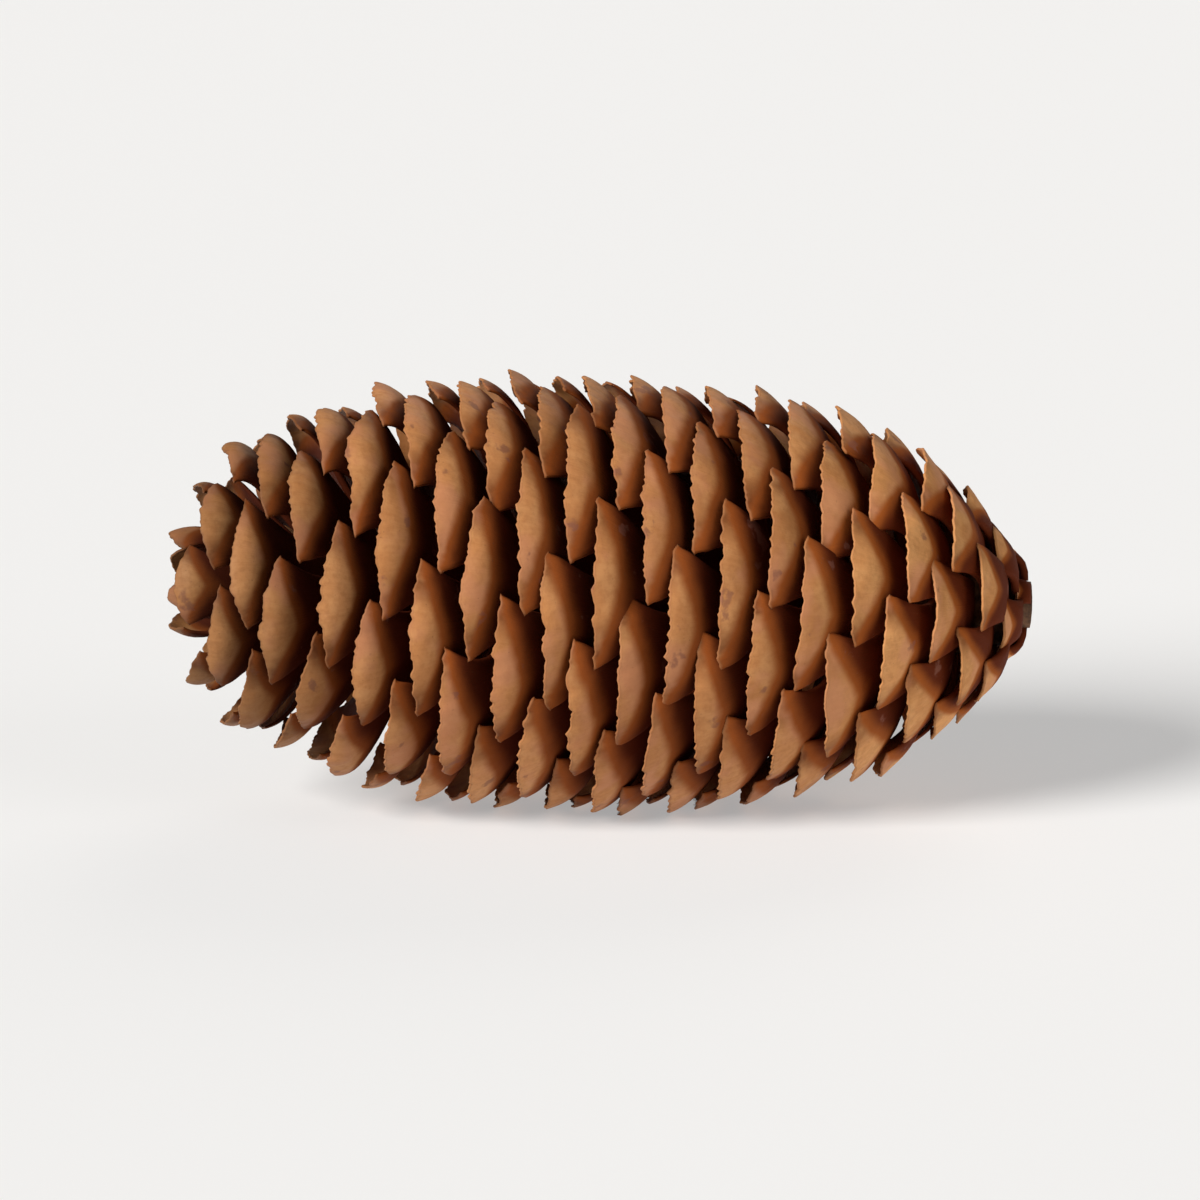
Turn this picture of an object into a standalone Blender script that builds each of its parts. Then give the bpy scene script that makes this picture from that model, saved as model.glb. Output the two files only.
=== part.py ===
"""A spruce cone lying on its side: one woody axis with thin scales grown from it in opposite pairs.

Metres, +Z up. The long axis runs along X, with the stalk end at +X and the tip at -X.
The origin is on the surface that the cone rests on, under the middle of its box.

Every scale is one blade. Its middle line is a cubic curve in a plane through the cone's axis, from a
root sunk in the woody axis to a free edge on the cone's outline, and the blade is wrapped round.
"""

import math

import bmesh
import bpy
from mathutils import Matrix, Vector

# The whole cone
LENGTH = 0.084
DIAMETER = 0.043
OUTLINE_POWER = 2.3

# How the scales are set out round the axis and along it
SCALE_COUNT = 172
PAIR_TURN = math.radians(69.1)
FIRST_TURN = math.radians(9.0)
END_SPREAD = 0.23
STALK_CROWDING = 0.45
TIP_CROWDING = 0.16

# The middle line of a scale: reaches are shares of the cone's length, angles are taken from its axis
ROOT_RADIUS = 0.0026
STALK_END_REACH = 0.014
FULL_REACH_GAIN = 0.100
TIP_REACH_GAIN = 0.040
RISE = math.radians(74.0)
STALK_RISE_GAIN = math.radians(24.0)
TIP_RISE_LOSS = math.radians(48.0)
FLARE = math.radians(20.0)
STALK_FLARE_GAIN = math.radians(54.0)
TIP_FLARE_LOSS = math.radians(34.0)
APEX_FLARE_LOSS = math.radians(24.0)
ROOT_HANDLE = 0.61
EDGE_HANDLE = 0.22
APEX_CLOSING = 0.62
APEX_NARROWING = 0.45

# One full-grown scale
SCALE_WIDTH = 0.0170
WIDTH_POWER = 0.85
TIP_WIDTH_POWER = 0.53
STALK_NARROWING = 0.13
FAN_POWER = 1.45
CLAW_WIDTH = 0.26
STALK_CLAW_GAIN = 0.30
EDGE_WIDTH = 0.97
EDGE_BOW = 0.06
TIP_BOW_GAIN = 0.10
SCALE_THICKNESS = 0.0007
EDGE_THICKNESS = 0.00065
CUP = 0.14
RAGGED_SHARE = 0.012
SIDE_TILT = math.radians(0.8)

# The woody axis that carries them
AXIS_RADIUS = 0.0062
AXIS_END = 0.85
AXIS_SIDES = 6
AXIS_STEPS = 4
STALK_RADIUS = 0.0023
STALK_REACH = 0.0016

# How the cone lies, on the worn tips of the scales under its weight
ROLL = math.radians(135.62)
PITCH = math.radians(1.78)
RESTING_WEAR = 0.0004

# Rows of points along a blade: share of its length, and points across. Small scales take fewer.
BLADE_ROWS = ((0.0, 2), (0.36, 2), (0.66, 3), (1.0, 5))
SMALL_ROWS = ((0.0, 2), (0.40, 2), (0.80, 3), (1.0, 4))
SMALL_BELOW = 0.0135
FLAT_WITHIN = math.radians(0.5)


def spread(index, salt):
    """A fixed, evenly scattered number from -1 to 1 for each scale."""
    return 2.0 * ((index + 1) * salt % 1.0) - 1.0


def outline_radius(share):
    """The cone's outline: radius at a share of its length, 0 at the stalk and 1 at the tip."""
    off_middle = abs(2.0 * share - 1.0)
    return DIAMETER / 2 * (1.0 - off_middle**OUTLINE_POWER) ** (1.0 / OUTLINE_POWER)


def axis_radius(along):
    """The woody axis: full near the stalk, then tapering towards the tip."""
    share = along / (AXIS_END * LENGTH)
    return AXIS_RADIUS * (1.0 - 0.75 * share**1.6) * min(1.0, 0.62 + 2.4 * share)


def direction(angle):
    """A unit step at an angle from the cone's axis."""
    return Vector((math.cos(angle), math.sin(angle)))


def scale_plan(index):
    """Where one scale grows and how it bends: its middle line, its turn round the axis and its width."""
    pair, side = divmod(index, 2)
    order = pair / (SCALE_COUNT // 2 - 1)
    share = order + END_SPREAD * math.sin(math.tau * order) / math.tau
    share += TIP_CROWDING * order**3 * (1.0 - order) - STALK_CROWDING * order * (1.0 - order) ** 3
    share = min(0.986, max(0.004, share + 0.0015 * spread(index, 0.7549)))
    near_stalk = max(0.0, 1.0 - share / 0.45) ** 2
    near_tip = max(0.0, share - 0.5) / 0.5
    closing = max(0.0, order - 0.965) / 0.035

    radius = outline_radius(share)
    power = WIDTH_POWER + (TIP_WIDTH_POWER - WIDTH_POWER) * near_tip
    width = SCALE_WIDTH * (2 * radius / DIAMETER) ** power * (1.0 - STALK_NARROWING * near_stalk)
    width *= 1.0 - APEX_NARROWING * closing
    opening = math.sin(math.pi / 2 * min(1.0, share / 0.42))
    reach = STALK_END_REACH + FULL_REACH_GAIN * opening + TIP_REACH_GAIN * near_tip**1.5
    tip = Vector((share * LENGTH, radius * (1.0 - APEX_CLOSING * closing**2)))
    root = Vector((tip.x - reach * LENGTH, ROOT_RADIUS * (1.0 - 0.6 * near_tip**2)))
    rise = RISE + STALK_RISE_GAIN * near_stalk - TIP_RISE_LOSS * near_tip**2
    flare = FLARE + STALK_FLARE_GAIN * near_stalk - TIP_FLARE_LOSS * near_tip**1.5
    flare += math.radians(2.5) * spread(index, 0.5698) - APEX_FLARE_LOSS * near_tip**6
    length = (tip - root).length
    first_handle = root + ROOT_HANDLE * length * direction(rise)
    last_handle = tip - EDGE_HANDLE * length * direction(flare)
    return {
        "index": index,
        "ends": (root, first_handle, last_handle, tip),
        "turn": FIRST_TURN - PAIR_TURN * pair - math.pi * side + math.radians(1.2) * spread(index, 0.3247),
        "half_width": width / 2 * (1.0 + 0.03 * spread(index, 0.8191)),
        "claw": CLAW_WIDTH + STALK_CLAW_GAIN * near_stalk,
        "bow": EDGE_BOW + TIP_BOW_GAIN * near_tip,
        "tilt": SIDE_TILT + math.radians(0.8) * spread(index, 0.6711),
    }


def curve_point(ends, v):
    """The middle line at v, from its two ends and two handles."""
    w = 1.0 - v
    return w**3 * ends[0] + 3 * w * w * v * ends[1] + 3 * w * v * v * ends[2] + v**3 * ends[3]


def width_share(claw, v):
    """Half width at v as a share of the widest: a narrow claw that opens into a fan up to its edge."""
    return claw + (1.0 - claw) * v**FAN_POWER


def blade_point(plan, across, v, face):
    """A point of one scale: across in metres from its middle line, v from 0 to 1, face 1 or -1."""
    middle = curve_point(plan["ends"], v)
    step = curve_point(plan["ends"], min(1.0, v + 0.01)) - curve_point(plan["ends"], max(0.0, v - 0.01))
    normal = Vector((-step.y, step.x)).normalized()
    thickness = SCALE_THICKNESS + (EDGE_THICKNESS - SCALE_THICKNESS) * v
    droop = CUP * across * across / plan["half_width"] + across * math.tan(plan["tilt"])
    spot = middle + normal * (face * thickness / 2 - droop * v)
    angle = plan["turn"] + across / max(spot.y, 0.0012)
    return Vector((LENGTH / 2 - spot.x, -spot.y * math.cos(angle), -spot.y * math.sin(angle)))


def row_spots(plan, v, count):
    """The points of one row, as (across, v). The last row follows the ragged, shallow free edge."""
    spots = []
    for column in range(count):
        u = 2.0 * column / (count - 1) - 1.0
        if v < 1.0:
            spots.append((u * plan["half_width"] * width_share(plan["claw"], v), v))
        else:
            ragged = RAGGED_SHARE * spread(7 * plan["index"] + column, 0.4503)
            spots.append((EDGE_WIDTH * u * plan["half_width"], 1.0 - plan["bow"] * u * u + ragged))
    return spots


def strip(row_a, row_b):
    """Triangles between two rows of points that may differ in number."""
    made, i, j = [], 0, 0
    while i < len(row_a) - 1 or j < len(row_b) - 1:
        ahead_a = (i + 1) / (len(row_a) - 1) if i < len(row_a) - 1 else 2.0
        ahead_b = (j + 1) / (len(row_b) - 1) if j < len(row_b) - 1 else 2.0
        if ahead_a <= ahead_b:
            made.append((row_a[i], row_a[i + 1], row_b[j]))
            i += 1
        else:
            made.append((row_a[i], row_b[j + 1], row_b[j]))
            j += 1
    return made


def rim(rows):
    """The points round one face of a blade, in order."""
    far_side = [row[-1] for row in rows[1:-1]]
    near_side = [row[0] for row in rows[-2:0:-1]]
    return [*rows[0], *far_side, *rows[-1][::-1], *near_side]


def scale_mesh(plan):
    """One closed blade, with the same triangles on both faces."""
    layout = BLADE_ROWS if 2 * plan["half_width"] > SMALL_BELOW else SMALL_ROWS
    bm = bmesh.new()
    rims = []
    for face in (1, -1):
        rows = []
        for v, count in layout:
            rows.append([bm.verts.new(blade_point(plan, a, w, face)) for a, w in row_spots(plan, v, count)])
        for row_a, row_b in zip(rows, rows[1:]):
            for corners in strip(row_a, row_b):
                bm.faces.new(corners)
        rims.append(rim(rows))
    outer, inner = rims
    for k in range(len(outer)):
        n = (k + 1) % len(outer)
        bm.faces.new((outer[k], outer[n], inner[k]))
        bm.faces.new((outer[n], inner[n], inner[k]))
    bmesh.ops.recalc_face_normals(bm, faces=bm.faces)
    mesh = bpy.data.meshes.new(f"scale_{plan['index']:03d}")
    bm.to_mesh(mesh)
    bm.free()
    return mesh


def make_axis():
    """The woody axis and its stub of stalk, turned from one profile."""
    end = AXIS_END * LENGTH
    profile = [(-STALK_REACH, 0.0), (-STALK_REACH, STALK_RADIUS), (0.0005, STALK_RADIUS)]
    profile += [(end * k / AXIS_STEPS, axis_radius(end * k / AXIS_STEPS)) for k in range(1, AXIS_STEPS + 1)]
    profile.append((end + 0.004, 0.0))
    bm = bmesh.new()
    verts = [bm.verts.new((LENGTH / 2 - along, 0.0, radius)) for along, radius in profile]
    edges = [bm.edges.new(pair) for pair in zip(verts, verts[1:])]
    bmesh.ops.spin(
        bm, geom=verts + edges, cent=(0, 0, 0), axis=(1, 0, 0),
        angle=math.tau, steps=AXIS_SIDES, use_merge=True,
    )
    bmesh.ops.remove_doubles(bm, verts=bm.verts, dist=1e-6)
    bmesh.ops.triangulate(bm, faces=bm.faces)
    bmesh.ops.recalc_face_normals(bm, faces=bm.faces)
    mesh = bpy.data.meshes.new("cone")
    bm.to_mesh(mesh)
    bm.free()
    cone = bpy.data.objects.new("cone", mesh)
    bpy.context.scene.collection.objects.link(cone)
    return cone


def grow_scales(cone):
    """Joins every scale to the axis in one Boolean union."""
    scales = bpy.data.collections.new("scales")
    bpy.context.scene.collection.children.link(scales)
    for index in range(SCALE_COUNT):
        mesh = scale_mesh(scale_plan(index))
        scales.objects.link(bpy.data.objects.new(mesh.name, mesh))
    union = cone.modifiers.new("grown_together", "BOOLEAN")
    union.operation = "UNION"
    union.operand_type = "COLLECTION"
    union.collection = scales
    union.solver = "MANIFOLD"
    graph = bpy.context.evaluated_depsgraph_get()
    joined = bpy.data.meshes.new_from_object(cone.evaluated_get(graph))
    cone.modifiers.clear()
    cone.data = joined
    for scale in list(scales.objects):
        bpy.data.objects.remove(scale)
    bpy.data.collections.remove(scales)


def drop_flat_joins(cone):
    """Merges the slivers that the union leaves inside flat faces."""
    bm = bmesh.new()
    bm.from_mesh(cone.data)
    bmesh.ops.dissolve_limit(bm, angle_limit=FLAT_WITHIN, verts=bm.verts, edges=bm.edges)
    bmesh.ops.triangulate(bm, faces=bm.faces)
    bm.to_mesh(cone.data)
    bm.free()


def lay_down(cone):
    """Turns the cone to lie on the scales under its weight, and wears their tips flat there."""
    cone.data.transform(Matrix.Rotation(PITCH, 4, "Y") @ Matrix.Rotation(ROLL, 4, "X"))
    lowest = min(v.co.z for v in cone.data.vertices)
    cone.data.transform(Matrix.Translation((0, 0, -lowest - RESTING_WEAR)))
    bm = bmesh.new()
    bm.from_mesh(cone.data)
    bmesh.ops.bisect_plane(
        bm, geom=[*bm.verts, *bm.edges, *bm.faces], plane_co=(0, 0, 0), plane_no=(0, 0, -1), clear_outer=True
    )
    bmesh.ops.holes_fill(bm, edges=[e for e in bm.edges if e.is_boundary])
    bmesh.ops.triangulate(bm, faces=bm.faces)
    bm.to_mesh(cone.data)
    bm.free()
    for axis in (0, 1):
        values = [v.co[axis] for v in cone.data.vertices]
        shift = Vector((0, 0, 0))
        shift[axis] = -(min(values) + max(values)) / 2
        cone.data.transform(Matrix.Translation(shift))


def scale_material():
    """Dry, matt, orange-tan scales."""
    material = bpy.data.materials.new("dry_scale")
    material.use_nodes = True
    shader = material.node_tree.nodes["Principled BSDF"]
    shader.inputs["Base Color"].default_value = (0.40, 0.20, 0.085, 1.0)
    shader.inputs["Roughness"].default_value = 0.68
    shader.inputs["Metallic"].default_value = 0.0
    return material


def main():
    for obj in list(bpy.data.objects):
        bpy.data.objects.remove(obj)
    cone = make_axis()
    grow_scales(cone)
    drop_flat_joins(cone)
    lay_down(cone)
    cone.data.materials.clear()
    cone.data.materials.append(scale_material())
    return cone


main()
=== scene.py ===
# %% [markdown]
# # A spruce cone
#
# A dry spruce cone is one woody axis with thin scales grown from it. The scales follow a strict rule: each pair
# stands a fixed turn round the axis from the pair before, and a fixed step nearer the tip. That is why rows seem
# to wind round the cone both ways. This lesson draws one flat blade, grows it by that rule with Geometry Nodes,
# and then spends its effort on what makes a real cone look real: ragged margins, waves, wood colour and streaks.
#
# The first cell loads the finished construction model. It gives the size that everything below has to keep.

# %% The fixed frame
import math

import bmesh
import bpy
from mathutils import Matrix, Vector


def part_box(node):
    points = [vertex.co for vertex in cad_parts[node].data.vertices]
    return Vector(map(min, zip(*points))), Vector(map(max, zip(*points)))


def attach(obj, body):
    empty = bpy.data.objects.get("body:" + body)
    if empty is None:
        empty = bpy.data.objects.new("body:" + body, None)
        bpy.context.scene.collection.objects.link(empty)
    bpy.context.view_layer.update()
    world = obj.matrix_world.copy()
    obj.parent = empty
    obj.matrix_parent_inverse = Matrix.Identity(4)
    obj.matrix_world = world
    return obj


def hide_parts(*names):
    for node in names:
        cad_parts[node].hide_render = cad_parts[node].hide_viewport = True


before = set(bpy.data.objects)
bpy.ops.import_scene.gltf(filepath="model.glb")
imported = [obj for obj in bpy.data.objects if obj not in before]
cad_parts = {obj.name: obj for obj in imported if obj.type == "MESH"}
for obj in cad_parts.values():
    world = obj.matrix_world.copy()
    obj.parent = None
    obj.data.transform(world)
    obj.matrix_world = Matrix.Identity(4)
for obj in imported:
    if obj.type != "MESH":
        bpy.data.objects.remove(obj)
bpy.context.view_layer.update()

low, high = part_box("cone")
print("cone", [round(1000 * (b - a), 1) for a, b in zip(low, high)], "mm")

# %% [markdown]
# ## The cone's measures
#
# These are the same sizes as in the construction model, so the fine scales stand where its plain ones do. Only the
# thickness and the slightly cut corners differ, because a real scale is thinner at its margin than the plain ones.
# Lengths are in metres, angles in radians, and places along the cone are shares of its length from the stalk.

# %% The whole cone, and how its scales are set out
LENGTH = 0.084
DIAMETER = 0.043
OUTLINE_POWER = 2.3
SCALE_COUNT = 172
PAIR_TURN = math.radians(69.1)
FIRST_TURN = math.radians(9.0)
END_SPREAD = 0.23
STALK_CROWDING = 0.45
TIP_CROWDING = 0.16
FIRST_SHARE = 0.004
LAST_SHARE = 0.986
STALK_ZONE_END = 0.45
OPEN_FROM = 0.42
TIP_ZONE_START = 0.5
APEX_START = 0.965
print(SCALE_COUNT, "scales on a cone", 1000 * LENGTH, "mm long")

# %% The middle line of a scale
ROOT_RADIUS = 0.0026
TIP_ROOT_LOSS = 0.6
STALK_END_REACH = 0.014
FULL_REACH_GAIN = 0.100
TIP_REACH_GAIN = 0.040
RISE = math.radians(74.0)
STALK_RISE_GAIN = math.radians(24.0)
TIP_RISE_LOSS = math.radians(48.0)
FLARE = math.radians(20.0)
STALK_FLARE_GAIN = math.radians(54.0)
TIP_FLARE_LOSS = math.radians(34.0)
APEX_FLARE_LOSS = math.radians(24.0)
ROOT_HANDLE = 0.61
EDGE_HANDLE = 0.22
APEX_CLOSING = 0.62
APEX_NARROWING = 0.45
print("a scale in the middle rises at", round(math.degrees(RISE)), "degrees from the axis")

# %% One full-grown scale
SCALE_WIDTH = 0.0170
WIDTH_POWER = 0.85
TIP_WIDTH_POWER = 0.53
STALK_NARROWING = 0.13
FAN_POWER = 1.45
CLAW_WIDTH = 0.26
STALK_CLAW_GAIN = 0.30
EDGE_BOW = 0.06
TIP_BOW_GAIN = 0.10
EDGE_TAKEN_IN = 0.03
CORNER_CUT = 0.02
CORNER_POWER = 12.0
CLAW_THICKNESS = 0.00085
EDGE_THICKNESS = 0.00026
CUP = 0.14
SIDE_TILT = math.radians(0.8)
print("a full-grown scale is", 1000 * SCALE_WIDTH, "mm wide")

# %% The woody axis, and how the cone lies
AXIS_RADIUS = 0.0062
AXIS_END = 0.85
AXIS_TAPER = 0.75
AXIS_TAPER_POWER = 1.6
AXIS_SHARE_AT_STALK = 0.62
AXIS_SWELL = 2.4
STALK_RADIUS = 0.0023
STALK_REACH = 0.0016
ROLL = math.radians(135.62)
PITCH = math.radians(1.78)
LAID_AT = Vector((-0.0013062, -0.0000102, 0.0212219))
print("the axis is", 2000 * AXIS_RADIUS, "mm across at most")

# %% [markdown]
# ## Writing node maths as plain sums
#
# A rule with fifty sums is hard to read as a picture of fifty Math nodes. A small class solves this: a `Field`
# stands for one value in a node tree, and `+`, `*` or `**` on it add the Math node that does the sum. The same
# class serves Geometry Nodes and shader nodes, because both have the Math node.

# %% A field that can be summed
def feed(socket, value):
    """Links a field to an input, or sets the input to a plain value."""
    if isinstance(value, Field):
        socket.id_data.links.new(value.socket, socket)
    else:
        socket.default_value = value


def add_node(tree, kind, inputs=(), **settings):
    """Adds a node, with its settings, and with its inputs fed by name."""
    node = tree.nodes.new(kind)
    for name, value in settings.items():
        setattr(node, name, value)
    for name, value in dict(inputs).items():
        feed(next(s for s in node.inputs if s.name == name and s.enabled), value)
    return node


def maths(operation, *values):
    """Adds one Math node."""
    tree = next(value.socket.id_data for value in values if isinstance(value, Field))
    node = tree.nodes.new("ShaderNodeMath")
    node.operation = operation
    for socket, value in zip(node.inputs, values):
        feed(socket, value)
    return Field(node.outputs[0])


class Field:
    """One value of a node tree."""

    def __init__(self, socket):
        self.socket = socket

    def __add__(self, other):
        return maths("ADD", self, other)

    def __sub__(self, other):
        return maths("SUBTRACT", self, other)

    def __rsub__(self, other):
        return maths("SUBTRACT", other, self)

    def __mul__(self, other):
        return maths("MULTIPLY", self, other)

    def __truediv__(self, other):
        return maths("DIVIDE", self, other)

    def __pow__(self, other):
        return maths("POWER", self, other)

    def __neg__(self):
        return maths("MULTIPLY", self, -1.0)

    __radd__ = __add__
    __rmul__ = __mul__


print("fields add Math nodes such as ADD, MULTIPLY and POWER")

# %% Helpers for both kinds of tree
def ramp(value, start, end):
    """0 below start, 1 above end, and a smooth rise between them."""
    tree = value.socket.id_data
    inputs = {"Value": value, "From Min": start, "From Max": end, "To Min": 0.0, "To Max": 1.0}
    return Field(add_node(tree, "ShaderNodeMapRange", inputs, interpolation_type="SMOOTHSTEP").outputs[0])


def combine(tree, x, y, z):
    """One vector from three values."""
    return Field(add_node(tree, "ShaderNodeCombineXYZ", {"X": x, "Y": y, "Z": z}).outputs[0])


def split(vector):
    """The three parts of a vector, as fields."""
    node = add_node(vector.socket.id_data, "ShaderNodeSeparateXYZ", {"Vector": vector})
    return [Field(socket) for socket in node.outputs]


def noise(vector, scale=1.0, detail=2.0, roughness=0.5):
    """Blender's cloud pattern at a point, from 0 to 1 and mostly near a half."""
    inputs = {"Vector": vector, "Scale": scale, "Detail": detail, "Roughness": roughness}
    return Field(add_node(vector.socket.id_data, "ShaderNodeTexNoise", inputs).outputs[0])


print("ramp, combine, split and noise each add one node")

# %% [markdown]
# ## One flat blade
#
# Every scale starts as the same flat drawing: x runs across it from -1 to 1, y from its root at 0 to its free edge
# at 1, and z is 1 on the outer face and -1 on the inner one. Little more than a scale's free edge shows on the cone,
# so the rows of points crowd towards it and the hidden claw gets only a few. A grid with equal rows would need many
# times the triangles for the same margin.

# %% Rows of points
BLADE_ROWS = (
    (0.0, 3), (0.16, 3), (0.32, 5), (0.46, 7), (0.57, 11), (0.66, 15), (0.73, 21), (0.79, 27), (0.84, 35),
    (0.88, 43), (0.912, 51), (0.94, 57), (0.962, 61), (0.98, 61), (0.992, 61), (1.0, 61),
)
RIM_OUT = Vector((0.018, 0.006))


def strip(row_a, row_b):
    """Triangles between two rows of points that may differ in number."""
    made, i, j = [], 0, 0
    while i < len(row_a) - 1 or j < len(row_b) - 1:
        ahead_a = (i + 1) / (len(row_a) - 1) if i < len(row_a) - 1 else 2.0
        ahead_b = (j + 1) / (len(row_b) - 1) if j < len(row_b) - 1 else 2.0
        if ahead_a <= ahead_b:
            made.append((row_a[i], row_a[i + 1], row_b[j]))
            i += 1
        else:
            made.append((row_a[i], row_b[j + 1], row_b[j]))
            j += 1
    return made


def rim(rows):
    """The points round one face, in order."""
    return [*rows[0], *(row[-1] for row in rows[1:-1]), *rows[-1][::-1], *(row[0] for row in rows[-2:0:-1])]


print("one face has", sum(count for _, count in BLADE_ROWS), "points")

# %% The blade
def make_blade():
    """The flat drawing: two like faces and a rounded rim between them."""
    bm = bmesh.new()
    rims = []
    for face in (1, -1):
        rows = []
        for y, count in BLADE_ROWS:
            xs = [2.0 * column / (count - 1) - 1.0 for column in range(count)]
            rows.append([bm.verts.new((x, y, face)) for x in xs])
        for row_a, row_b in zip(rows, rows[1:]):
            for corners in strip(row_a, row_b):
                bm.faces.new(corners)
        rims.append(rim(rows))
    outer, inner = rims
    middle = []
    for vert in outer:
        x, y, _ = vert.co
        out_x = math.copysign(RIM_OUT.x, x) if abs(x) == 1.0 else 0.0
        out_y = RIM_OUT.y if y == 1.0 else 0.0
        middle.append(bm.verts.new((x + out_x, y + out_y, 0.0)))
    for k in range(len(outer)):
        n = (k + 1) % len(outer)
        bm.faces.new((outer[k], outer[n], middle[n], middle[k]))
        bm.faces.new((middle[k], middle[n], inner[n], inner[k]))
    bmesh.ops.recalc_face_normals(bm, faces=bm.faces)
    mesh = bpy.data.meshes.new("flat_blade")
    bm.to_mesh(mesh)
    bm.free()
    return bpy.data.objects.new("flat_blade", mesh)


blade = make_blade()
bpy.context.scene.collection.objects.link(blade)
print("the blade has", sum(len(p.vertices) - 2 for p in blade.data.polygons), "triangles")

# %% [markdown]
# ## The rule that sets out the scales
#
# `scale_plan` is the construction model's own rule, written with fields. The number of a scale gives its pair, the
# pair gives its turn round the axis and its place along it, and the cone's outline gives its size. Near the stalk the
# scales stand up and are short, and near the tip they lie flat and close over each other. A real cone is never that
# regular, so every scale strays a little in each of eight ways, with random numbers from a fixed seed.

# %% How much scales differ
SEED = 12
SPREADS = {
    "share": (0.7549, 0.0015),
    "flare": (0.5698, math.radians(2.5)),
    "width": (0.8191, 0.03),
    "turn": (0.3247, math.radians(1.2)),
    "tilt": (0.6711, math.radians(0.8)),
}
STRAYS = {
    "height": (1, 0.0005),
    "flare": (2, math.radians(5.0)),
    "width": (3, 0.06),
    "turn": (4, math.radians(2.0)),
    "tilt": (5, math.radians(4.0)),
    "cup": (6, 0.4),
    "tone": (7, 0.5),
    "skew": (8, 0.022),
}
LOOSER_AT_TIP = 1.2
print("scales keep the model's", len(SPREADS), "small differences and stray in", len(STRAYS), "more ways")

# %% The plan of one scale
def outline_radius(share):
    """The cone's radius at a share of its length, 0 at the stalk and 1 at the tip."""
    off_middle = maths("ABSOLUTE", 2.0 * share - 1.0)
    return DIAMETER / 2 * (1.0 - off_middle**OUTLINE_POWER) ** (1.0 / OUTLINE_POWER)


def at_angle(start, distance, angle, way=1.0):
    """A point at a distance from another, in the plane through the axis."""
    return (
        start[0] + way * distance * maths("COSINE", angle),
        start[1] + way * distance * maths("SINE", angle),
    )


def scale_plan(number, random):
    """Every value of one scale. random gives a number from -1 to 1, another one for each seed."""
    def spread(name):
        salt, amount = SPREADS[name]
        return amount * (2.0 * maths("FRACT", (number + 1.0) * salt) - 1.0)

    def stray(name, more=1.0):
        seed, amount = STRAYS[name]
        return amount * more * random(seed)

    pair = maths("FLOOR", number / 2.0)
    side = number - 2.0 * pair
    order = pair / (SCALE_COUNT // 2 - 1)
    share = order + END_SPREAD / math.tau * maths("SINE", math.tau * order)
    share = share - STALK_CROWDING * order * (1.0 - order) ** 3.0 + TIP_CROWDING * order**3.0 * (1.0 - order)
    share = maths("MINIMUM", LAST_SHARE, maths("MAXIMUM", FIRST_SHARE, share + spread("share")))
    near_stalk = maths("MAXIMUM", 0.0, 1.0 - share / STALK_ZONE_END) ** 2.0
    near_tip = maths("MAXIMUM", 0.0, share - TIP_ZONE_START) / (1.0 - TIP_ZONE_START)
    closing = maths("MAXIMUM", 0.0, order - APEX_START) / (1.0 - APEX_START)
    looser = 1.0 + LOOSER_AT_TIP * near_tip

    radius = outline_radius(share)
    power = WIDTH_POWER + (TIP_WIDTH_POWER - WIDTH_POWER) * near_tip
    width = SCALE_WIDTH * (2.0 / DIAMETER * radius) ** power * (1.0 - STALK_NARROWING * near_stalk)
    width = width * (1.0 - APEX_NARROWING * closing)
    opening = maths("SINE", math.pi / 2 * maths("MINIMUM", 1.0, share / OPEN_FROM))
    reach = STALK_END_REACH + FULL_REACH_GAIN * opening + TIP_REACH_GAIN * near_tip**1.5
    tip = (share * LENGTH, radius * (1.0 - APEX_CLOSING * closing**2.0) + stray("height"))
    root = (tip[0] - reach * LENGTH, ROOT_RADIUS * (1.0 - TIP_ROOT_LOSS * near_tip**2.0))
    rise = RISE + STALK_RISE_GAIN * near_stalk - TIP_RISE_LOSS * near_tip**2.0
    flare = FLARE + STALK_FLARE_GAIN * near_stalk - TIP_FLARE_LOSS * near_tip**1.5
    flare = flare + spread("flare") - APEX_FLARE_LOSS * near_tip**6.0 + stray("flare", looser)
    length = maths("SQRT", (tip[0] - root[0]) ** 2.0 + (tip[1] - root[1]) ** 2.0)
    first_handle = at_angle(root, ROOT_HANDLE * length, rise)
    last_handle = at_angle(tip, EDGE_HANDLE * length, flare, way=-1.0)
    turn = FIRST_TURN - PAIR_TURN * pair - math.pi * side + spread("turn")
    return {
        "root_x": root[0], "root_r": root[1], "first_x": first_handle[0], "first_r": first_handle[1],
        "last_x": last_handle[0], "last_r": last_handle[1], "tip_x": tip[0], "tip_r": tip[1],
        "turn": turn + stray("turn", looser),
        "half_width": width / 2.0 * (1.0 + spread("width") + stray("width")),
        "claw": CLAW_WIDTH + STALK_CLAW_GAIN * near_stalk,
        "bow": EDGE_BOW + TIP_BOW_GAIN * near_tip,
        "skew": stray("skew"),
        "tilt": SIDE_TILT + spread("tilt") + stray("tilt", looser),
        "cup": CUP * (1.0 + stray("cup")),
        "number": number,
        "tone": 0.5 + stray("tone"),
    }


print("the plan says where a scale starts and ends, how it bends, and how wide it is")

# %% [markdown]
# ## Bending a flat blade into a scale
#
# The blade's middle line is a cubic curve from the woody axis to the cone's outline. Each point of the flat drawing
# is moved onto that curve, pushed out by half the thickness, drooped at its sides so the scale is slightly domed, and
# wrapped round the axis. The margin is where a real scale shows its age: it is bitten into ragged teeth, it waves in
# and out, and its face carries faint lengthwise ridges. Those are all small offsets, taken from noise at a point that
# is different for every scale.

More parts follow.
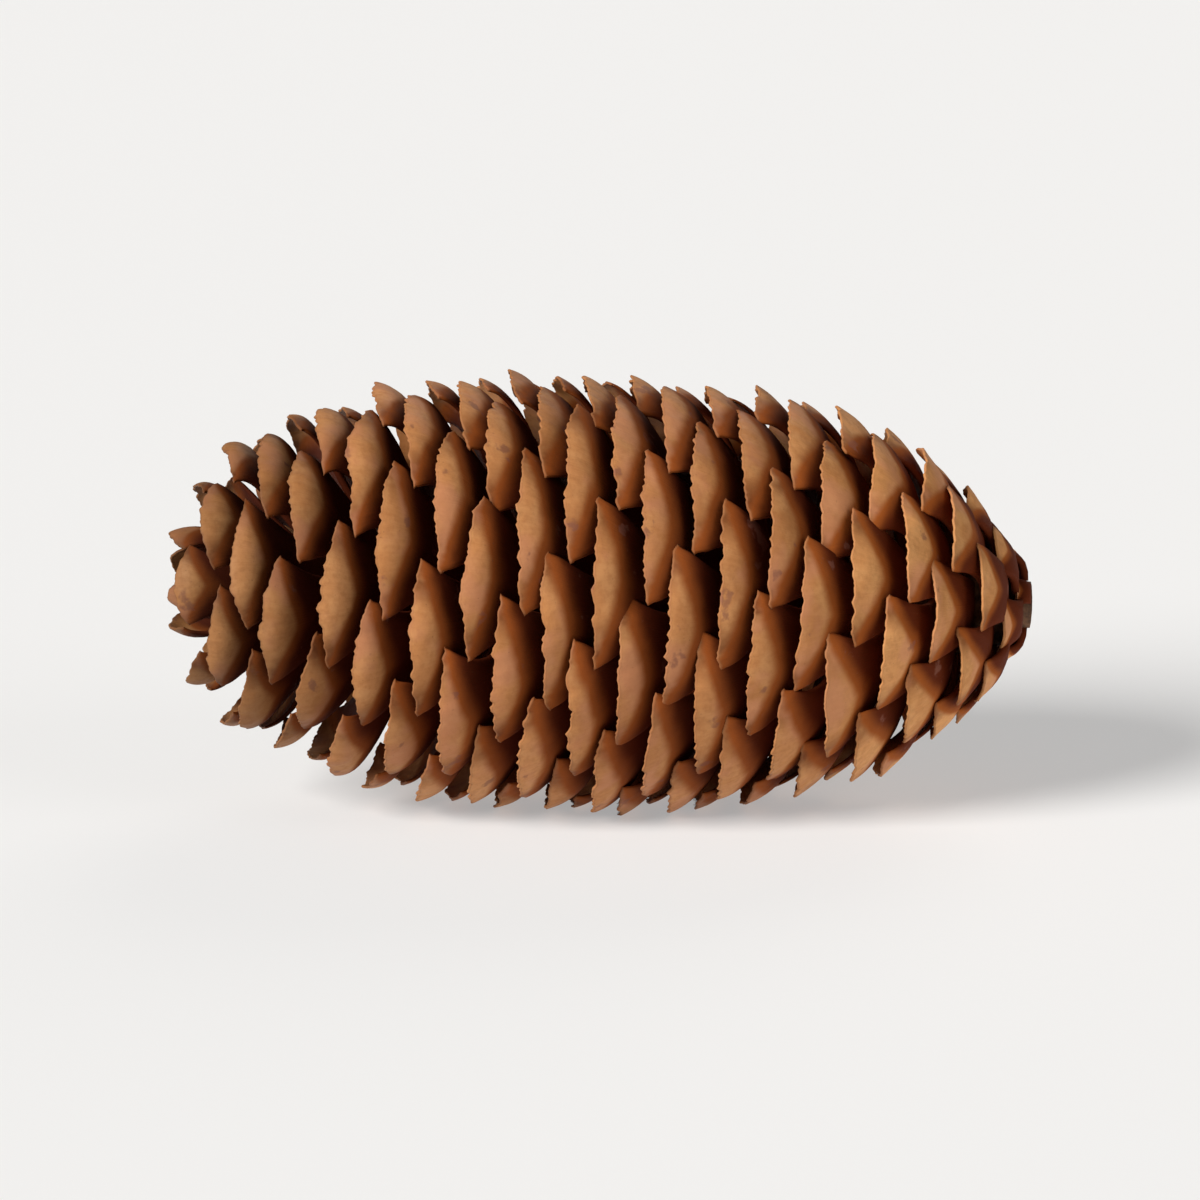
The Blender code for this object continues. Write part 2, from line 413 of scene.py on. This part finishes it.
# %% The margin's measures
RAGGED_DEPTH = 0.00088
BROAD_BITE = 0.0034
BROAD_SHARE = 1.6
FINE_TOOTH = 0.00085
FINE_SHARE = 2.0
FINE_LAYER = 5.0
MARGIN_START = 0.86
TYPICAL_LENGTH = 0.020
WAVE_HEIGHT = 0.00046
WAVE_LENGTH = 0.0052
WAVES_ALONG = 1.6
WAVE_START = 0.6
RIDGE_HEIGHT = 0.00009
RIDGE_GAP = 0.0011
RIDGES_ALONG = 2.5
LEAST_RADIUS = 0.0012
NOISE_STEP = {"broad": 7.31, "fine": 3.77, "wave": 5.13, "ridge": 9.17}
print("teeth are set to", 1000 * RAGGED_DEPTH, "mm and waves to", 1000 * WAVE_HEIGHT, "mm")

# %% The bend
def margin_teeth(tree, across, number):
    """How far the free edge is bitten back: broad bites, and fine teeth on them."""
    broad_at = combine(tree, across / BROAD_BITE, number * NOISE_STEP["broad"], 0.0)
    fine_at = combine(tree, across / FINE_TOOTH, number * NOISE_STEP["fine"], FINE_LAYER)
    broad = noise(broad_at, detail=1.0)
    fine = noise(fine_at, detail=1.5, roughness=0.7)
    return (broad - 0.5) * BROAD_SHARE + (fine - 0.5) * FINE_SHARE


def bend(tree, plan):
    """Where a point of the flat blade goes on the standing cone."""
    u, s, face = split(Field(add_node(tree, "GeometryNodeInputPosition").outputs[0]))
    near_edge = ramp(s, MARGIN_START, 1.0)
    side = maths("ABSOLUTE", u)
    edge_at = 1.0 - plan["bow"] * u**2.0 - CORNER_CUT * side**CORNER_POWER + plan["skew"] * u
    width = plan["claw"] + (1.0 - plan["claw"]) * s**FAN_POWER
    across = u * plan["half_width"] * width * (1.0 - EDGE_TAKEN_IN * near_edge)
    teeth = margin_teeth(tree, across, plan["number"]) * near_edge * RAGGED_DEPTH
    v = s * edge_at + teeth / TYPICAL_LENGTH

    w = 1.0 - v
    weights = (w**3.0, 3.0 * w**2.0 * v, 3.0 * w * v**2.0, v**3.0)
    slopes = (3.0 * w**2.0, 6.0 * w * v, 3.0 * v**2.0)
    middle, step = [], []
    for axis in "xr":
        knots = [plan[f"{name}_{axis}"] for name in ("root", "first", "last", "tip")]
        middle.append(sum(weight * knot for weight, knot in zip(weights, knots)))
        step.append(sum(slope * (b - a) for slope, a, b in zip(slopes, knots, knots[1:])))
    length = maths("SQRT", step[0] ** 2.0 + step[1] ** 2.0)

    wave_at = combine(tree, across / WAVE_LENGTH, s * WAVES_ALONG, plan["number"] * NOISE_STEP["wave"])
    ridge_at = combine(tree, across / RIDGE_GAP, s * RIDGES_ALONG, plan["number"] * NOISE_STEP["ridge"])
    wave = noise(wave_at, detail=1.0) - 0.5
    ridge = noise(ridge_at, detail=1.0) - 0.5
    droop = plan["cup"] * across**2.0 / plan["half_width"] + across * maths("TANGENT", plan["tilt"])
    thickness = CLAW_THICKNESS + (EDGE_THICKNESS - CLAW_THICKNESS) * s
    off = face * thickness / 2.0 - droop * v + 2.0 * WAVE_HEIGHT * wave * ramp(s, WAVE_START, 1.0)
    off = off + 2.0 * RIDGE_HEIGHT * ridge
    along = middle[0] - off * step[1] / length
    radius = middle[1] + off * step[0] / length
    angle = plan["turn"] + across / maths("MAXIMUM", radius, LEAST_RADIUS)
    x = LENGTH / 2 - along
    return combine(tree, x, -radius * maths("COSINE", angle), -radius * maths("SINE", angle))


print("the bend puts a flat point onto the curve of its scale")

# %% [markdown]
# ## The tree
#
# One tree makes any run of scales: points, one blade on each point, the plan stored on each blade, then Realize
# Instances and the bend. Realize Instances has to come before the bend, because an instance can't be bent. The same
# tree is used three times, for the stalk end, the middle and the tip, because a mesh of under 200,000 triangles is
# easier to handle than one of nearly 400,000. The last step lays the cone down and wears the lowest scales flat.

# %% The tree
def store(tree, geometry, name, value, **settings):
    """Keeps a value on the geometry under a name."""
    inputs = {"Geometry": Field(geometry), "Name": name, "Value": value}
    return add_node(tree, "GeometryNodeStoreNamedAttribute", inputs, **settings).outputs[0]


def move(tree, geometry, place):
    """Moves every point to a place."""
    inputs = {"Geometry": Field(geometry), "Position": place}
    return add_node(tree, "GeometryNodeSetPosition", inputs).outputs[0]


def scale_tree(material):
    tree = bpy.data.node_groups.new("Cone scales", "GeometryNodeTree")
    face = tree.interface
    face.new_socket("Geometry", in_out="OUTPUT", socket_type="NodeSocketGeometry")
    wanted = {
        "Blade": "Object", "First scale": "Int", "Scales": "Int", "Seed": "Int",
        "Roll": "Float", "Pitch": "Float", "Laid at": "Vector",
    }
    for name, kind in wanted.items():
        face.new_socket(name, in_out="INPUT", socket_type=f"NodeSocket{kind}")
    source = tree.nodes.new("NodeGroupInput")
    given = {name: Field(source.outputs[name]) for name in wanted}

    number = given["First scale"] + Field(add_node(tree, "GeometryNodeInputIndex").outputs[0])

    def random(seed):
        inputs = {"Min": -1.0, "Max": 1.0, "ID": number, "Seed": given["Seed"] + seed}
        node = add_node(tree, "FunctionNodeRandomValue", inputs, data_type="FLOAT")
        return Field(next(s for s in node.outputs if s.enabled))

    points = add_node(tree, "GeometryNodePoints", {"Count": given["Scales"]})
    drawing = add_node(tree, "GeometryNodeObjectInfo", {"Object": given["Blade"]})
    geometry = add_node(
        tree, "GeometryNodeInstanceOnPoints",
        {"Points": Field(points.outputs[0]), "Instance": Field(drawing.outputs["Geometry"])},
    ).outputs[0]
    stored = {}
    for name, value in scale_plan(number, random).items():
        geometry = store(tree, geometry, name, value, data_type="FLOAT", domain="INSTANCE")
        reader = add_node(tree, "GeometryNodeInputNamedAttribute", {"Name": name}, data_type="FLOAT")
        stored[name] = Field(next(s for s in reader.outputs if s.enabled))
    geometry = add_node(tree, "GeometryNodeRealizeInstances", {"Geometry": Field(geometry)}).outputs[0]

    u, s, _ = split(Field(add_node(tree, "GeometryNodeInputPosition").outputs[0]))
    drawn_at = combine(tree, 0.5 + 0.5 * u, s, 0.0)
    geometry = store(tree, geometry, "blade", drawn_at, data_type="FLOAT2", domain="CORNER")
    geometry = move(tree, geometry, bend(tree, stored))
    for name in stored:
        if name != "tone":
            geometry = add_node(
                tree, "GeometryNodeRemoveAttribute", {"Geometry": Field(geometry), "Name": name}
            ).outputs[0]

    laid = add_node(
        tree, "GeometryNodeTransform",
        {"Geometry": Field(geometry), "Translation": given["Laid at"],
         "Rotation": combine(tree, given["Roll"], given["Pitch"], 0.0)},
    ).outputs[0]
    x, y, z = split(Field(add_node(tree, "GeometryNodeInputPosition").outputs[0]))
    worn = move(tree, laid, combine(tree, x, y, maths("MAXIMUM", z, 0.0)))
    smooth = add_node(tree, "GeometryNodeSetShadeSmooth", {"Geometry": Field(worn)}).outputs[0]
    dressed = add_node(
        tree, "GeometryNodeSetMaterial", {"Geometry": Field(smooth), "Material": material}
    ).outputs[0]
    tree.links.new(dressed, tree.nodes.new("NodeGroupOutput").inputs[0])
    return tree


print("the tree has named inputs for the run of scales, the seed and the lie of the cone")

# %% From tree to mesh
def grow(name, tree, **values):
    """Runs the tree with these inputs and keeps the result as a plain mesh at the origin."""
    maker = bpy.data.objects.new(name + "_maker", bpy.data.meshes.new(name + "_maker"))
    bpy.context.scene.collection.objects.link(maker)
    modifier = maker.modifiers.new("grow", "NODES")
    modifier.node_group = tree
    for item in tree.interface.items_tree:
        if item.in_out == "INPUT":
            modifier[item.identifier] = values[item.name.replace(" ", "_")]
    graph = bpy.context.evaluated_depsgraph_get()
    mesh = bpy.data.meshes.new_from_object(
        maker.evaluated_get(graph), preserve_all_data_layers=True, depsgraph=graph
    )
    bpy.data.objects.remove(maker)
    mesh.name = name
    piece = bpy.data.objects.new(name, mesh)
    bpy.context.scene.collection.objects.link(piece)
    print(name, len(mesh.polygons), "faces", [a.name for a in mesh.attributes if not a.name.startswith(".")])
    return piece


print("grow makes one plain mesh from one run of scales")

# %% [markdown]
# ## The finish of a scale
#
# A spruce scale is satin and tan where the sun has bleached it, and dark red-brown where the next scale has always
# covered it; that brown is deepened towards the root with painted shade, as in a crevice. Its two sides are redder,
# partly in their own colour and partly with painted shade where they slip under their neighbours. Fine streaks run
# from root to margin, small darker specks and a few reddish-brown stains lie over them, and the thin rim is darker,
# partly in its own colour and partly with painted shade that dims the highlight it catches. The scales are painted
# darker near the tip as painted shade, and paler near the stalk as painted light. Most of it follows the scale, so
# the material reads the flat drawing's own map, named `blade`, and the scale's own `tone`. Object coordinates serve
# what ignores the scale, such as specks.

# %% The finish's colours and sizes
# Painted shade: the covered red-brown deepens to this towards the root, as in the crevice between scales.
COVERED_DEEP_AND_CREVICE_SHADE = (0.072, 0.011, 0.002)
COVERED_NEAR_TAN = (0.22, 0.053, 0.009)
TAN_DARK = (0.36, 0.147, 0.049)
TAN_LIGHT = (0.48, 0.214, 0.080)
BETWEEN_STREAKS = (0.93, 0.905, 0.88)
# Partly the sides' own redder brown, partly painted shade where they slip under their neighbours.
SIDE_BROWN_AND_SHADE = (0.118, 0.030, 0.007)
PALE_PATCH = (0.50, 0.248, 0.099)
DARK_MOTTLE = (0.27, 0.100, 0.034)
ROSY_BLOOM = (0.42, 0.172, 0.088)
# Partly the margin's own brown, partly painted shade that dims the highlight the rim catches.
RIM_BROWN_AND_SHADE = (0.17, 0.070, 0.028)
STAIN_BROWN = (0.16, 0.060, 0.042)
SPECK_BROWN = (0.12, 0.05, 0.025)
# Painted shade for the tip end, and painted light for the stalk end; the body tint between is a plain lift in colour.
TIP_PAINTED_SHADE = (0.55, 0.56, 0.56)
BODY_TINT = (1.17, 1.17, 1.16)
STALK_PAINTED_LIGHT = (1.42, 1.50, 1.46)

# Where the painted tip shade and the painted stalk light fade in; the stalk span also sets where more of a scale is
# bare.
TIP_SHADE_SPAN = (-0.042, -0.014)
STALK_SPAN = (0.010, 0.034)
BARE_DEPTH = 0.210
TIP_BARE_GAIN = 0.14
STALK_BARE_GAIN = 0.17
BARE_RAGGED = 0.08
FINENESS = {"patches": 420.0, "mottle": 1500.0, "bloom": 170.0, "stain": 300.0, "specks": 3600.0}
STREAK_FINENESS = (26.0, 3.0, 40.0)
RELIEF_STRENGTH = 0.25
RELIEF_HEIGHT = 0.00025
COVERED_ROUGHNESS = 0.80
SPECULAR = 0.11
print("down its middle, the last", 100 * BARE_DEPTH, "percent of a scale or more is bleached tan")

# %% The scale's material
def mix(tree, factor, colour_a, colour_b, blend="MIX"):
    """A colour between two others."""
    node = tree.nodes.new("ShaderNodeMix")
    node.data_type = "RGBA"
    node.blend_type = blend
    sockets = [s for s in node.inputs if s.enabled]
    for socket, value in zip(sockets, (factor, colour_a, colour_b)):
        feed(socket, (*value, 1.0) if isinstance(value, tuple) else value)
    return Field(next(s for s in node.outputs if s.enabled))


def tinted(tree, colour, tint):
    """A colour multiplied by another."""
    return mix(tree, 1.0, colour, tint, "MULTIPLY")


def new_material(name):
    material = bpy.data.materials.new(name)
    material.use_nodes = True
    return material, material.node_tree, material.node_tree.nodes["Principled BSDF"]


def bleached_tan(tree, place, side, tone, patches, mottle, streaks):
    """The open end of a scale: streaked tan, brown at its sides partly with painted shade, with patches and a rosy
    bloom.
    """
    tan = mix(tree, tone, TAN_DARK, TAN_LIGHT)
    tan = mix(tree, ramp(streaks, 0.30, 0.70), tinted(tree, tan, BETWEEN_STREAKS), tan)
    # Sides: their own redder brown, with painted shade where they slip under their neighbours.
    tan = mix(tree, ramp(side, 0.40, 0.88) * 0.95, tan, SIDE_BROWN_AND_SHADE)
    tan = mix(tree, ramp(patches, 0.42, 0.70) * 0.45, tan, PALE_PATCH)
    tan = mix(tree, ramp(mottle, 0.40, 0.70) * 0.35, tan, DARK_MOTTLE)
    bloom = ramp(noise(place, scale=FINENESS["bloom"], detail=3.0), 0.47, 0.64)
    return mix(tree, bloom * 0.6, tan, ROSY_BLOOM)


def marked(tree, place, v, colour):
    """The rim, darkened partly with painted shade, and stains and specks over a colour."""
    # Rim: partly its own darker brown, partly painted shade over the highlight it catches.
    colour = mix(tree, ramp(v, 0.985, 1.003) * 0.6, colour, RIM_BROWN_AND_SHADE)
    stain = ramp(noise(place, scale=FINENESS["stain"], detail=4.0, roughness=0.55), 0.635, 0.695)
    colour = mix(tree, stain * 0.6, colour, STAIN_BROWN)
    specks = ramp(noise(place, scale=FINENESS["specks"], detail=2.0), 0.70, 0.78)
    return mix(tree, specks * 0.5, colour, SPECK_BROWN)


def scale_material():
    material, tree, shader = new_material("dry_scale")
    drawing = add_node(tree, "ShaderNodeUVMap", uv_map="blade")
    x, v, _ = split(Field(drawing.outputs[0]))
    u = 2.0 * x - 1.0
    side = maths("ABSOLUTE", u)
    tone = Field(add_node(tree, "ShaderNodeAttribute", attribute_name="tone").outputs["Fac"])
    place = Field(add_node(tree, "ShaderNodeTexCoord").outputs["Object"])
    along = split(place)[0]

    patches = noise(place, scale=FINENESS["patches"], detail=3.0)
    mottle = noise(place, scale=FINENESS["mottle"], detail=4.0, roughness=0.6)
    streak_at = combine(tree, *(value * fine for value, fine in zip((u, v, tone), STREAK_FINENESS)))
    streaks = noise(streak_at, detail=3.0, roughness=0.6)

    depth = BARE_DEPTH + TIP_BARE_GAIN * ramp(-along, 0.006, 0.034) + STALK_BARE_GAIN * ramp(along, *STALK_SPAN)
    bare_from = 1.0 - depth * (1.0 - side**1.5) + BARE_RAGGED * (patches - 0.5)
    bare = ramp(v, bare_from - 0.030, bare_from + 0.065)
    # Covered part: its own red-brown, with painted shade deepening it towards the root.
    covered_with_crevice_shade = mix(tree, ramp(v, bare_from - 0.20, bare_from), COVERED_DEEP_AND_CREVICE_SHADE, COVERED_NEAR_TAN)
    tan = bleached_tan(tree, place, side, tone, patches, mottle, streaks)
    colour = marked(tree, place, v, mix(tree, bare, covered_with_crevice_shade, tan))
    # Painted shade darkens the tip end, and painted light brightens the stalk end.
    colour = tinted(tree, colour, mix(tree, ramp(along, *TIP_SHADE_SPAN), TIP_PAINTED_SHADE, BODY_TINT))
    colour = mix(tree, ramp(along, *STALK_SPAN), colour, tinted(tree, colour, STALK_PAINTED_LIGHT))

    relief = {"Height": streaks * 0.6 + mottle * 0.4, "Strength": RELIEF_STRENGTH, "Distance": RELIEF_HEIGHT}
    feed(shader.inputs["Base Color"], colour)
    feed(shader.inputs["Roughness"], COVERED_ROUGHNESS - bare * (0.32 - 0.20 * mottle))
    feed(shader.inputs["Normal"], Field(add_node(tree, "ShaderNodeBump", relief).outputs[0]))
    shader.inputs["Specular IOR Level"].default_value = SPECULAR
    return material


dry_scale = scale_material()
print("dry_scale has", len(dry_scale.node_tree.nodes), "nodes")

# %% [markdown]
# ## Growing the scales
#
# Three runs of the tree, each with its own share of the scales. The flat drawing has done its work after that, so it
# is removed, and only plain meshes are left.

# %% Grow
RUNS = {"stalk_end_scales": (0, 60), "middle_scales": (60, 58), "tip_scales": (118, 54)}
tree = scale_tree(dry_scale)
scales = []
for name, (first, count) in RUNS.items():
    piece = grow(
        name, tree, Blade=blade, First_scale=first, Scales=count, Seed=SEED,
        Roll=ROLL, Pitch=PITCH, Laid_at=LAID_AT,
    )
    scales.append(piece)
bpy.data.objects.remove(blade)

# %% [markdown]
# ## The woody axis and the stub of stalk
#
# The axis can only be glimpsed between the scales, but the cone would look hollow without it. It is turned from one
# profile, as on a lathe, and roughened with shallow grooves. The stalk has broken off its twig, so the stub ends in
# an uneven break.

# %% A turned and grooved piece
FINE_GROOVES = 7
FINE_TWIST = 0.8
WIDE_GROOVES = 3
WIDE_TWIST = 0.5


def turned(name, profile, steps, groove):
    """A closed turned piece from (along, radius) pairs, with grooves of that depth running along it."""
    bm = bmesh.new()
    rings = []
    for number, (along, radius) in enumerate(profile):
        ring = []
        for step in range(steps):
            angle = math.tau * step / steps
            fine = math.sin(FINE_GROOVES * angle + FINE_TWIST * number)
            wide = math.sin(WIDE_GROOVES * angle - WIDE_TWIST * number)
            rough = radius + groove * fine * wide
            ring.append(bm.verts.new((LENGTH / 2 - along, rough * math.cos(angle), rough * math.sin(angle))))
        rings.append(ring)
    for ring_a, ring_b in zip(rings, rings[1:]):
        for k in range(steps):
            n = (k + 1) % steps
            bm.faces.new((ring_a[k], ring_a[n], ring_b[n], ring_b[k]))
    bm.faces.new(rings[0])
    bm.faces.new(rings[-1])
    bmesh.ops.recalc_face_normals(bm, faces=bm.faces)
    for face in bm.faces:
        face.smooth = len(face.verts) == 4
    mesh = bpy.data.meshes.new(name)
    bm.to_mesh(mesh)
    bm.free()
    mesh.transform(Matrix.Translation(LAID_AT) @ Matrix.Rotation(PITCH, 4, "Y") @ Matrix.Rotation(ROLL, 4, "X"))
    piece = bpy.data.objects.new(name, mesh)
    bpy.context.scene.collection.objects.link(piece)
    print(name, len(mesh.polygons), "faces")
    return piece


print("turned pieces have", FINE_GROOVES, "fine and", WIDE_GROOVES, "wide grooves")

# %% The axis and the stub
AXIS_START = 0.02
AXIS_RINGS = 40
AXIS_SIDES = 36
AXIS_GROOVE = 0.00025
STUB_SIDES = 28
STUB_GROOVE = 0.00012
STUB_PROFILE = (
    (-STALK_REACH + 0.0002, 0.0009), (-STALK_REACH, 0.0012), (-STALK_REACH + 0.0003, 0.0018),
    (-STALK_REACH + 0.0001, 0.0022), (0.0004, STALK_RADIUS), (0.0030, 0.0029),
)


def axis_radius(along):
    """The woody axis: full near the stalk, then tapering towards the tip."""
    share = along / (AXIS_END * LENGTH)
    swell = min(1.0, AXIS_SHARE_AT_STALK + AXIS_SWELL * share)
    return AXIS_RADIUS * (1.0 - AXIS_TAPER * share**AXIS_TAPER_POWER) * swell


axis_profile = []
for ring_number in range(AXIS_RINGS + 1):
    ring_at = AXIS_END * LENGTH * (AXIS_START + (1.0 - AXIS_START) * ring_number / AXIS_RINGS)
    axis_profile.append((ring_at, axis_radius(ring_at)))
axis = turned("woody_axis", axis_profile, AXIS_SIDES, AXIS_GROOVE)
stub = turned("stalk_stub", STUB_PROFILE, STUB_SIDES, STUB_GROOVE)

# %% The axis material
BARK_DARK = (0.05, 0.02, 0.009)
BARK_LIGHT = (0.19, 0.085, 0.035)
BARK_FINENESS = 900.0


def bark_material():
    """Matt, grained brown wood."""
    material, tree, shader = new_material("cone_axis")
    place = Field(add_node(tree, "ShaderNodeTexCoord").outputs["Object"])
    grain = noise(place, scale=BARK_FINENESS, detail=4.0, roughness=0.6)
    colour = mix(tree, ramp(grain, 0.3, 0.7), BARK_DARK, BARK_LIGHT)
    bump = add_node(tree, "ShaderNodeBump", {"Height": grain, "Strength": 0.5, "Distance": 0.0003})
    feed(shader.inputs["Base Color"], colour)
    feed(shader.inputs["Normal"], Field(bump.outputs[0]))
    shader.inputs["Roughness"].default_value = 0.85
    return material


bark = bark_material()
for piece in (axis, stub):
    piece.data.materials.append(bark)
print("cone_axis has", len(bark.node_tree.nodes), "nodes")

# %% [markdown]
# ## Telling the frame what each piece is
#
# Every piece moves with the one body and stands for the one construction solid.

# %% Riding
for piece in (*scales, axis, stub):
    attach(piece, "root")
    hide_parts("cone")
print([piece.name for piece in (*scales, axis, stub)])

# %% [markdown]
# ## Floor, light and camera
#
# A small wooden thing shows its relief best under one strong light from the upper left. Three far lights do this: a
# soft key, and two weak ones that open the shadows from the right and from behind. The pale floor glows slightly, so
# that the cone's shadow stays light. The sky is pale to the camera and weak as a light. The camera stands low and far
# off with a long lens, so the near end isn't stretched.

# %% Floor
FLOOR_RADIUS = 3.0
FLOOR_COLOUR = (0.48, 0.48, 0.48, 1.0)
FLOOR_GLOW = 0.36


def make_floor():
    """A wide, pale, slightly glowing disc."""
    bm = bmesh.new()
    bmesh.ops.create_circle(bm, cap_ends=True, segments=96, radius=FLOOR_RADIUS)
    mesh = bpy.data.meshes.new("floor")
    bm.to_mesh(mesh)
    bm.free()
    floor = bpy.data.objects.new("floor", mesh)
    bpy.context.scene.collection.objects.link(floor)
    material, _, shader = new_material("pale_floor")
    shader.inputs["Base Color"].default_value = FLOOR_COLOUR
    shader.inputs["Emission Color"].default_value = (1.0, 1.0, 1.0, 1.0)
    shader.inputs["Emission Strength"].default_value = FLOOR_GLOW
    shader.inputs["Roughness"].default_value = 0.9
    mesh.materials.append(material)


make_floor()
print("the floor is", 2 * FLOOR_RADIUS, "m across")

# %% Lights
LIT_POINT = (0.0, 0.0, 0.02)


def aim(thing, place, target):
    """Puts a light or a camera at a place and turns it to a target."""
    thing.location = place
    thing.rotation_euler = (Vector(target) - Vector(place)).to_track_quat("-Z", "Y").to_euler()


def far_light(name, place, softness, strength, colour=(1.0, 1.0, 1.0)):
    """A light so far off that its rays run side by side. Only its direction counts, not its distance."""
    light = bpy.data.lights.new(name, "SUN")
    light.angle = math.radians(softness)
    light.energy = strength
    light.color = colour
    lamp = bpy.data.objects.new(name, light)
    bpy.context.scene.collection.objects.link(lamp)
    aim(lamp, place, LIT_POINT)


far_light("key", place=(-0.66, -0.55, 0.50), softness=28.0, strength=5.3, colour=(1.0, 0.98, 0.95))
far_light("fill", place=(0.75, -0.55, 0.45), softness=34.0, strength=0.55)
far_light("back", place=(0.30, 0.80, 0.55), softness=34.0, strength=0.55, colour=(1.0, 0.94, 0.86))
print("three far lights: a key, a fill and a back light")

# %% Sky
SKY_AS_LIGHT = 0.08
SKY_MORE_WHEN_SEEN = 0.80
world = bpy.data.worlds.new("studio")
world.use_nodes = True
sky = world.node_tree
seen = Field(add_node(sky, "ShaderNodeLightPath").outputs["Is Camera Ray"])
sky.nodes["Background"].inputs["Color"].default_value = (1.0, 1.0, 1.0, 1.0)
feed(sky.nodes["Background"].inputs["Strength"], SKY_AS_LIGHT + SKY_MORE_WHEN_SEEN * seen)
bpy.context.scene.world = world
bpy.context.scene.view_settings.view_transform = "Standard"
print("the sky is pale to the camera and weak as a light")

# %% Camera
AZIMUTH = math.radians(-1.0)
ELEVATION = math.radians(12.0)
CAMERA_FAR = 0.62
CAMERA_LENS = 190.0
CAMERA_NEAR_CLIP = 0.01
LOOK_AT = Vector((0.0, 0.0, 0.0205))
camera = bpy.data.objects.new("camera", bpy.data.cameras.new("camera"))
camera.data.lens = CAMERA_LENS
camera.data.clip_start = CAMERA_NEAR_CLIP
bpy.context.scene.collection.objects.link(camera)
away = Vector((
    math.sin(AZIMUTH) * math.cos(ELEVATION), -math.cos(AZIMUTH) * math.cos(ELEVATION), math.sin(ELEVATION)
))
aim(camera, LOOK_AT + CAMERA_FAR * away, LOOK_AT)
bpy.context.scene.camera = camera
print("the camera is", CAMERA_FAR, "m away")
